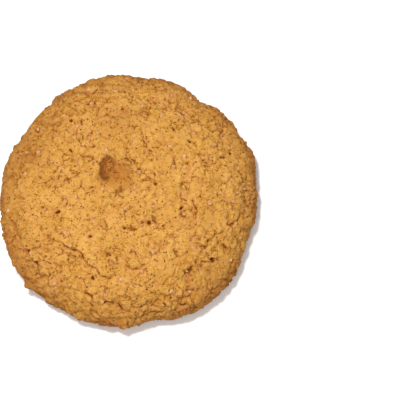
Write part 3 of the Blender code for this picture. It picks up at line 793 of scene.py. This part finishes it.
def sugar_mesh():
    """The sugar grains: each is a short six-sided crystal of four rings, narrower at its ends,
    stretched and turned its own way, with its corners a little uneven, and half sunk in the
    crust."""
    seats, outward, sizes, turns, shapes = grain_seats()
    relief, _ = crust_relief(seats, [])
    seats = seats + outward * (relief + GRAIN_RAISED * sizes)[:, None]
    ring_radius = np.array([0.62, 1.0, 0.94, 0.55])
    ring_height = np.array([-0.80, -0.50, 0.42, 0.80])
    turn = np.arange(GRAIN_SIDES) * 2 * np.pi / GRAIN_SIDES
    crystal = np.stack([
        np.outer(ring_radius, np.cos(turn)),
        np.outer(ring_radius, np.sin(turn)),
        np.repeat(ring_height[:, None], GRAIN_SIDES, axis=1),
    ], axis=2).reshape(-1, 3)
    draw = np.random.default_rng(SEED + 1)
    uneven = crystal * (1 + draw.uniform(-0.12, 0.12, (len(seats), len(crystal), 1)))
    stretched = uneven * (0.5 * sizes[:, None] * shapes)[:, None, :]
    spins = np.array([Euler(spin).to_matrix() for spin in turns])
    points = np.einsum("gij,gvj->gvi", spins, stretched) + seats[:, None, :]

    ring, step = np.meshgrid(np.arange(len(ring_radius) - 1), np.arange(GRAIN_SIDES), indexing="ij")
    low = (ring * GRAIN_SIDES + step).ravel()
    along = (ring * GRAIN_SIDES + (step + 1) % GRAIN_SIDES).ravel()
    quads = np.column_stack([low, along, along + GRAIN_SIDES, low + GRAIN_SIDES])
    faces = []
    for first in range(0, len(seats) * len(crystal), len(crystal)):
        faces += (quads + first).tolist()
        faces.append([first + k for k in reversed(range(GRAIN_SIDES))])
        faces.append([first + len(crystal) - GRAIN_SIDES + k for k in range(GRAIN_SIDES)])
    mesh = bpy.data.meshes.new("sugar")
    mesh.from_pydata(points.reshape(-1, 3).tolist(), [], faces)
    mesh.shade_flat()
    layer = mesh.attributes.new("clear", "FLOAT", "POINT")
    clear = draw.uniform(0, 1, len(seats)) ** 2
    layer.data.foreach_set("value", np.repeat(clear, len(crystal)).astype(np.float32))
    return mesh


class Finish:
    """A material's nodes, built with short calls."""

    def __init__(self, name):
        self.material = bpy.data.materials.new(name)
        self.material.use_nodes = True
        self.tree = self.material.node_tree
        self.shader = self.tree.nodes["Principled BSDF"]
        self.places = self.tree.nodes.new("ShaderNodeTexCoord").outputs["Object"]

    def node(self, kind, settings=None, **inputs):
        """A node with its settings, and each named input linked or set."""
        made = self.tree.nodes.new(kind)
        for key, value in (settings or {}).items():
            setattr(made, key, value)
        for key, value in inputs.items():
            self.plug(made.inputs[key.replace("_", " ")], value)
        return made

    def plug(self, socket, value):
        """Links a socket to another's output, or sets its value."""
        if isinstance(value, bpy.types.NodeSocket):
            self.tree.links.new(value, socket)
        else:
            socket.default_value = value

    def layer(self, name):
        """A value that the mesh carries at each vertex."""
        return self.node("ShaderNodeAttribute", {"attribute_name": name}).outputs["Fac"]

    def noise(self, size, detail=2.0, roughness=0.5):
        """Noise whose blotches measure about the size."""
        made = self.node("ShaderNodeTexNoise", Vector=self.places, Scale=1 / size, Detail=detail,
                         Roughness=roughness)
        return made.outputs["Fac"]

    def pushed_about(self, size, reach):
        """Places moved by noise, so that what is drawn at them turns crooked."""
        noise = self.node("ShaderNodeTexNoise", Vector=self.places, Scale=1 / size).outputs["Color"]
        push = self.node("ShaderNodeVectorMath", {"operation": "MULTIPLY_ADD"})
        self.plug(push.inputs[0], noise)
        self.plug(push.inputs[1], (reach, reach, reach))
        self.plug(push.inputs[2], self.places)
        return push.outputs[0]

    def rise(self, value, low, high, top=1.0):
        """0 where the value is at low or under it, and top where it is at high or over it."""
        made = self.node("ShaderNodeMapRange", {"interpolation_type": "SMOOTHSTEP"}, Value=value,
                         From_Min=low, From_Max=high, To_Min=0.0, To_Max=top)
        return made.outputs["Result"]

    def maths(self, operation, first, second, clamp=False):
        """Two numbers added, multiplied and so on."""
        made = self.node("ShaderNodeMath", {"operation": operation, "use_clamp": clamp})
        self.plug(made.inputs[0], first)
        self.plug(made.inputs[1], second)
        return made.outputs[0]

    def scaled(self, value, share):
        """The value times the share."""
        return self.maths("MULTIPLY", value, share)

    def mixed(self, share, first, second):
        """The first colour, turned into the second by the share."""
        made = self.node("ShaderNodeMix", {"data_type": "RGBA"})
        self.plug(made.inputs["Factor"], share)
        self.plug(made.inputs["A"], first)
        self.plug(made.inputs["B"], second)
        return made.outputs["Result"]

    def cells(self, places, size, feature="F1"):
        """Cells of about the size, with the distance to the nearest middle or edge."""
        return self.node("ShaderNodeTexVoronoi", {"feature": feature}, Vector=places, Scale=1 / size)


def painted(paint):
    """The paint's colour, turned from the one seen on a screen into the shader's linear one."""
    seen = np.array(PAINTS[paint]) / 255
    linear = np.where(seen <= 0.04045, seen / 12.92, ((seen + 0.055) / 1.055) ** 2.4)
    return (*[float(part) for part in linear], 1.0)


def crust_finish():
    """Baked crust: golden with blotches and with freckles that gather in patches, browner at the
    rim, the foot, the tail of dough and some broad patches, and paler in others, where light is
    painted to even out the relief's shade. Pinkish-brown where the crumb is bare and where shadow is
    painted at the foot of large cracks, darker along the left edge of the tail's head, and painted
    shade in the hollows, down the cracks, the pits and the pinholes, and along the open borders of
    plates and flakes."""
    crust = Finish("baked_crust")
    broad = crust.rise(crust.noise(8 * MM, 3), 0.35, 0.65)
    golden = crust.mixed(broad, painted("darker gold"), painted("lighter gold"))
    for size, detail, roughness, low, high, top, paint in BLOTCHES:
        here = crust.rise(crust.noise(size, detail, roughness), low, high, top)
        golden = crust.mixed(here, golden, painted(paint))
    freckled = crust.maths("ADD", 0.35, crust.rise(crust.noise(2.6 * MM, 2), 0.40, 0.58, 0.65))
    for size, detail, roughness, low, high, top, paint in FRECKLES:
        here = crust.scaled(crust.rise(crust.noise(size, detail, roughness), low, high, top), freckled)
        golden = crust.mixed(here, golden, painted(paint))

    uneven = crust.rise(crust.noise(4 * MM, 3), 0.2, 0.8)
    rim = crust.scaled(crust.layer("rim"), crust.maths("ADD", 0.14, crust.scaled(uneven, 0.45)))
    browned = crust.maths("MAXIMUM", rim, crust.scaled(crust.layer("low"), LOW_PAINT))
    # Broad patches painted browner, and paler ones painted light to even out the relief's shade
    browned = crust.maths("ADD", browned, crust.layer("baked"), clamp=True)
    colour = crust.mixed(browned, golden, painted("browned"))
    # Bare crumb, and the painted shadow at the foot of large cracks
    colour = crust.mixed(crust.scaled(crust.layer("crumb_and_shadow"), CRUMB_AND_SHADOW_PAINT), colour, painted("bare crumb"))
    # Painted shade in the hollows of the crust and in the base's pores
    colour = crust.mixed(crust.scaled(crust.layer("hollow_shade"), HOLLOW_SHADE_PAINT), colour, painted("hollow_shade"))

    tail = crust.layer("tail")
    colour = crust.mixed(crust.rise(tail, 0.0, 0.5, 0.8), colour, painted("tail"))
    mottled = crust.rise(crust.noise(0.5 * MM, 2), 0.42, 0.62)
    speckles = crust.mixed(mottled, painted("dark speckle"), painted("pale speckle"))
    colour = crust.mixed(crust.rise(tail, 0.55, 0.9, 0.85), colour, speckles)

    # Painted shade down the cracks, pits, folds and splits, darkest at their deepest
    groove_shade = crust.layer("groove_shade")
    colour = crust.mixed(crust.rise(groove_shade, 0.35, 0.9, 0.9), colour, painted("groove_shade"))
    colour = crust.mixed(crust.rise(groove_shade, 0.9, 1.1, 0.8), colour, painted("deep groove"))
    # Thin dark lines of painted shade in the open borders of plates, flakes, crumbs and folds
    jagged = crust.maths("ADD", crust.layer("edge"), crust.scaled(crust.noise(0.5 * MM, 3, 0.6), 0.3))
    line = crust.rise(jagged, 0.30, 0.21)
    colour = crust.mixed(crust.scaled(line, LINE_SHADE_PAINT), colour, painted("crack line shade"))
    # The left edge of the tail's head, painted darker
    colour = crust.mixed(crust.scaled(crust.layer("dark_left_edge"), DARK_EDGE_PAINT), colour, painted("dark_left_edge"))

    # Painted shade in tiny pinholes and split lines, too small for the mesh, also pressed in by the bump
    hole = crust.cells(crust.pushed_about(0.6 * MM, 0.5 * MM), 1.0 * MM)
    open_here = crust.rise(crust.noise(1.1 * MM), 0.44, 0.62)
    pinhole = crust.scaled(crust.rise(hole.outputs["Distance"], 0.34, 0.12), open_here)
    split = crust.cells(crust.pushed_about(1.3 * MM, 0.9 * MM), 2.1 * MM, "DISTANCE_TO_EDGE")
    split_here = crust.rise(crust.noise(1.0 * MM, 2), 0.56, 0.66)
    split_line = crust.scaled(crust.rise(split.outputs["Distance"], 0.10, 0.02), split_here)
    opened = crust.maths("MAXIMUM", pinhole, crust.scaled(split_line, 0.5))
    colour = crust.mixed(crust.scaled(opened, OPENED_SHADE_PAINT), colour, painted("pinhole"))
    crust.plug(crust.shader.inputs["Base Color"], colour)
    crust.shader.inputs["Roughness"].default_value = 0.85
    crust.shader.inputs["Specular IOR Level"].default_value = 0.05

    height = crust.maths("SUBTRACT", crust.noise(0.4 * MM, 3, 0.6), crust.scaled(opened, 1.2))
    bump = crust.node("ShaderNodeBump", Height=height, Strength=1.0, Distance=BUMP_HEIGHT)
    crust.plug(crust.shader.inputs["Normal"], bump.outputs["Normal"])
    return crust.material


def sugar_finish():
    """Sugar: warm crystals with a dull gloss, most of them stained and crusted over, a few clear."""
    sugar = Finish("sugar")
    colour = sugar.mixed(sugar.layer("clear"), painted("crusted sugar"), painted("clear sugar"))
    stained = sugar.rise(sugar.noise(0.5 * MM, 2), 0.48, 0.60, 0.7)
    colour = sugar.mixed(stained, colour, painted("stained sugar"))
    sugar.plug(sugar.shader.inputs["Base Color"], colour)
    sugar.shader.inputs["Roughness"].default_value = 0.45
    sugar.shader.inputs["Specular IOR Level"].default_value = 0.2
    sugar.shader.inputs["Transmission Weight"].default_value = 0.1
    return sugar.material


def floor_and_light():
    """A pale floor, a small light nearly overhead, a little to the upper left, a broad one from the
    front, and an even studio."""
    bpy.ops.mesh.primitive_plane_add(size=4.0, location=(0, 0, -0.0001))
    floor = bpy.context.object
    floor.name = "floor"
    paint = Finish("floor_paint")
    clouds = paint.rise(paint.noise(0.4, 2), 0.3, 0.7)
    shade = paint.mixed(clouds, (0.90, 0.90, 0.90, 1), (0.93, 0.93, 0.93, 1))
    paint.plug(paint.shader.inputs["Base Color"], shade)
    paint.shader.inputs["Roughness"].default_value = 0.9
    floor.data.materials.append(paint.material)

    for name, place, size, power in LIGHTS:
        light = bpy.data.lights.new(name, "AREA")
        light.size = size
        light.energy = power
        lamp = bpy.data.objects.new(name, light)
        lamp.location = place
        lamp.rotation_euler = (-Vector(place)).to_track_quat("-Z", "Y").to_euler()
        bpy.context.scene.collection.objects.link(lamp)

    world = bpy.data.worlds.new("studio")
    world.use_nodes = True
    world.node_tree.nodes["Background"].inputs["Color"].default_value = (1.0, 1.0, 1.0, 1.0)
    world.node_tree.nodes["Background"].inputs["Strength"].default_value = STUDIO_LIGHT
    bpy.context.scene.world = world


def camera():
    """The camera: it looks down on the cookie, which lies left of the picture's middle."""
    seen_width = PICTURE_WIDTH / PIXELS_PER_MM * MM
    distance = seen_width * LENS / SENSOR
    target = Vector(LOOKED_AT) * MM
    back = Vector((0, -math.cos(ELEVATION), math.sin(ELEVATION)))
    data = bpy.data.cameras.new("camera")
    data.lens = LENS
    data.sensor_width = SENSOR
    data.clip_start = 0.01
    data.clip_end = 10
    view = bpy.data.objects.new("camera", data)
    view.location = target + back * distance
    view.rotation_euler = (-back).to_track_quat("-Z", "Y").to_euler()
    bpy.context.scene.collection.objects.link(view)
    bpy.context.scene.camera = view
    bpy.context.scene.view_settings.view_transform = "Standard"


camera()
floor_and_light()

cookie = new_object("cookie_crust", cookie_mesh(split_beside_grains()), crust_finish())
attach(cookie, "root")
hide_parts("cookie")

sugar = new_object("sugar_grains", sugar_mesh(), sugar_finish())
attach(sugar, "root")
